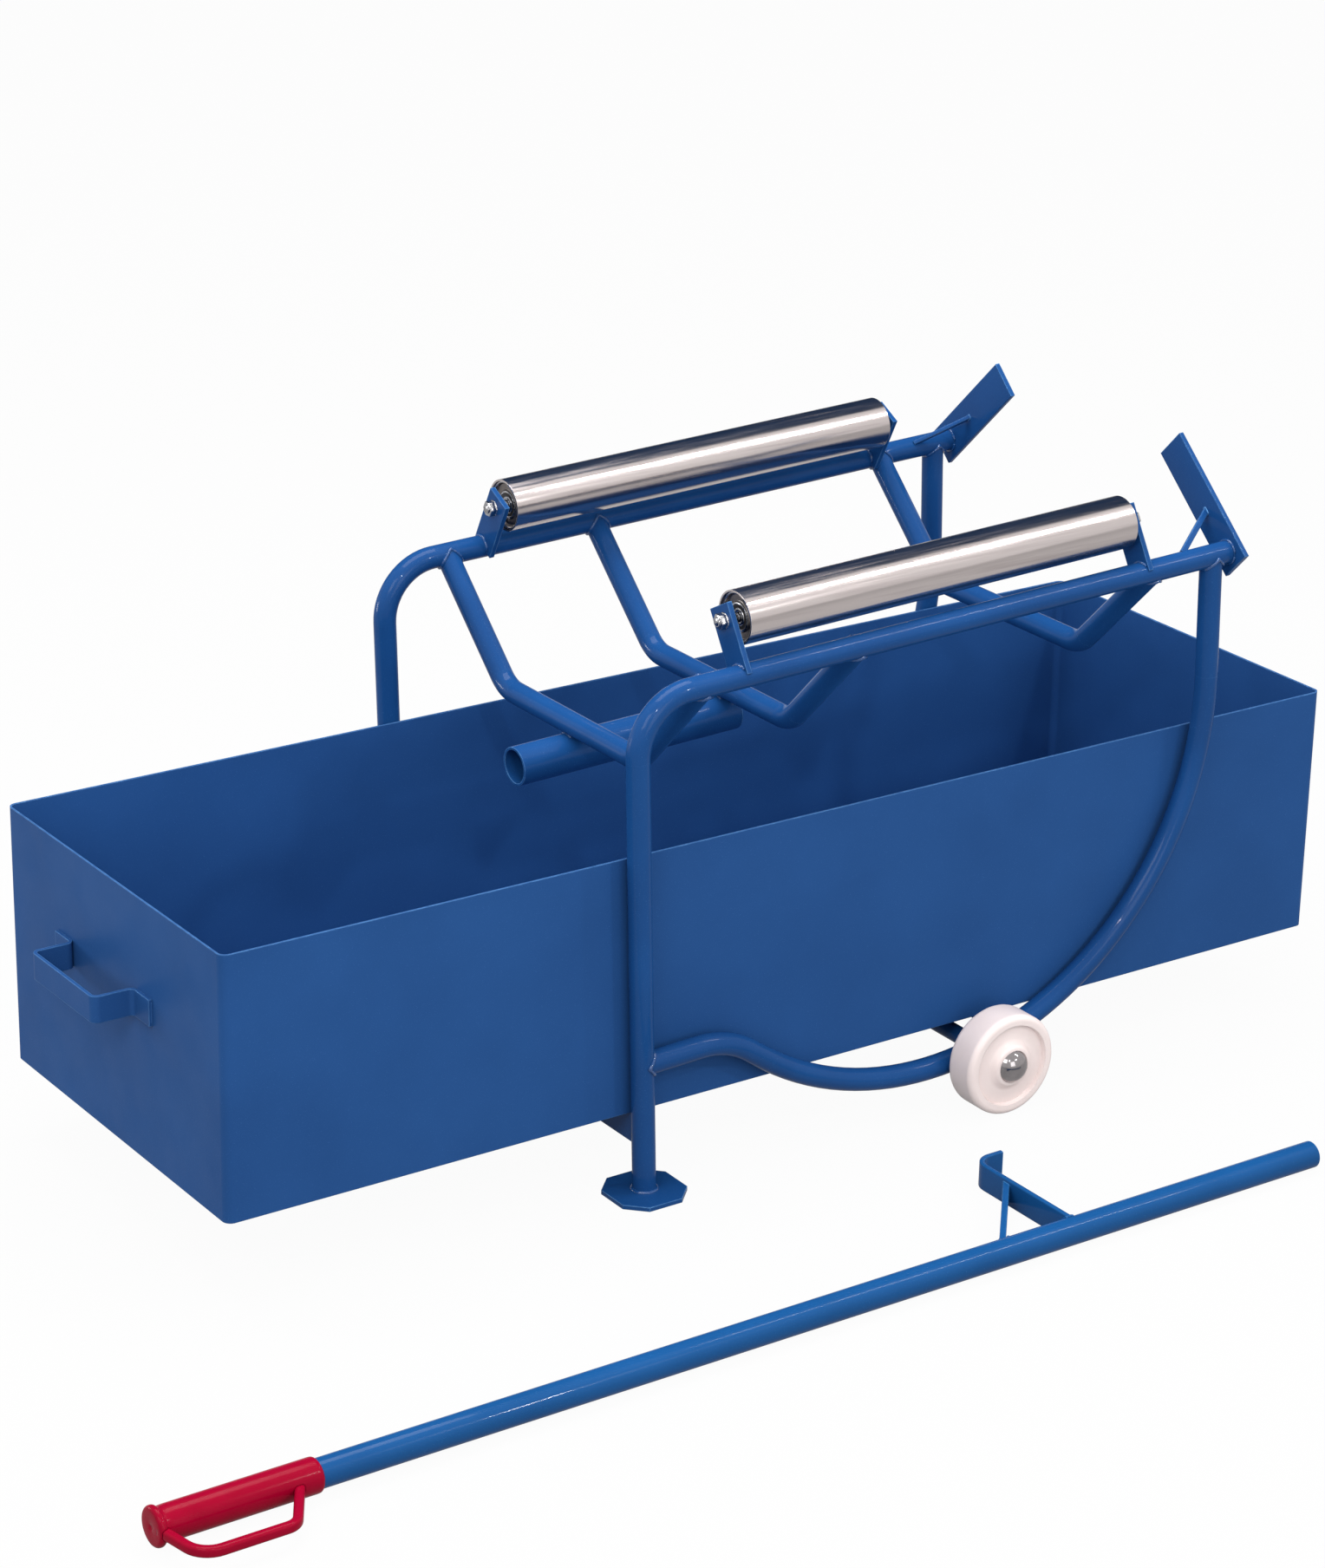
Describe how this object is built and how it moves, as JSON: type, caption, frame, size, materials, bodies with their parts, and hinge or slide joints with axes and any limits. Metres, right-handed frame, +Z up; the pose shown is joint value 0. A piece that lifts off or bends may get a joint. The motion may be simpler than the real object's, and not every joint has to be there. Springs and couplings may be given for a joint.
{
  "type": "drum tipper",
  "caption": "Rocking tubular steel cradle with rollers, wheels, a sliding collecting tray and a loose hooked lever, for laying down and draining a drum.",
  "frame": {"origin": "on the floor, under the middle of the outline of the whole set as it stands, lever included", "axes": "+X along the drum, rollers, tray and lever, from the outlet end towards the drum stops; +Y across the tipper, away from the lever; +Z up"},
  "size_m": [1.7448, 1.001, 0.7117],
  "materials": {
    "blue_enamel": "gloss",
    "tray_enamel": "gloss",
    "lever_enamel": "gloss",
    "roller_steel": "polished",
    "zinc_steel": "satin",
    "bright_steel": "polished",
    "white_nylon": "satin",
    "red_grip": "satin"
  },
  "bodies": {
    "frame": {"side_frame_near": "blue_enamel", "side_frame_far": "blue_enamel", "foot_near": "blue_enamel", "foot_far": "blue_enamel", "rocker_near": "blue_enamel", "rocker_far": "blue_enamel", "cradle_front": "blue_enamel", "cradle_mid": "blue_enamel", "cradle_rear": "blue_enamel", "lever_socket": "blue_enamel", "tray_rest_front": "blue_enamel", "tray_rest_rear": "blue_enamel", "stop_near": "blue_enamel", "stop_far": "blue_enamel", "bracket_near_front": "blue_enamel", "bracket_near_rear": "blue_enamel", "bracket_far_front": "blue_enamel", "bracket_far_rear": "blue_enamel", "roller_axle_near": "zinc_steel", "roller_axle_far": "zinc_steel", "roller_nuts_near": "zinc_steel", "roller_nuts_far": "zinc_steel", "wheel_axle": "zinc_steel", "axle_washers": "zinc_steel", "hub_cap_near": "bright_steel", "hub_cap_far": "bright_steel"},
    "roller_near": {"roller_shell_near": "roller_steel", "roller_bearings_near": "zinc_steel"},
    "roller_far": {"roller_shell_far": "roller_steel", "roller_bearings_far": "zinc_steel"},
    "wheel_left": {"wheel_near": "white_nylon"},
    "wheel_right": {"wheel_far": "white_nylon"},
    "tray": {"tray_pan": "tray_enamel", "tray_handle": "tray_enamel"},
    "lever": {"lever_tube": "lever_enamel", "lever_hook": "lever_enamel", "lever_grip": "red_grip"}
  },
  "joints": [
    {"name": "roller_near_spin", "type": "hinge", "parent": "frame", "child": "roller_near", "pos_m": [0.29567, -0.04555, 0.63479], "axis": [0.9994, 0, 0.0349], "continuous": true},
    {"name": "roller_far_spin", "type": "hinge", "parent": "frame", "child": "roller_far", "pos_m": [0.29567, 0.40845, 0.63479], "axis": [0.9994, 0, 0.0349], "continuous": true},
    {"name": "wheel_near_spin", "type": "hinge", "parent": "frame", "child": "wheel_left", "pos_m": [0.36859, -0.11305, 0.06], "axis": [0, 1, 0], "continuous": true},
    {"name": "wheel_far_spin", "type": "hinge", "parent": "frame", "child": "wheel_right", "pos_m": [0.36859, 0.47595, 0.06], "axis": [0, 1, 0], "continuous": true},
    {"name": "tray_slide", "type": "slide", "parent": "frame", "child": "tray", "axis": [-1, 0, 0], "range_m": [0, 0.9]},
    {"name": "lever_lift", "type": "slide", "parent": "frame", "child": "lever", "axis": [0, 0, 1], "range_m": [0, 0.5]}
  ]
}
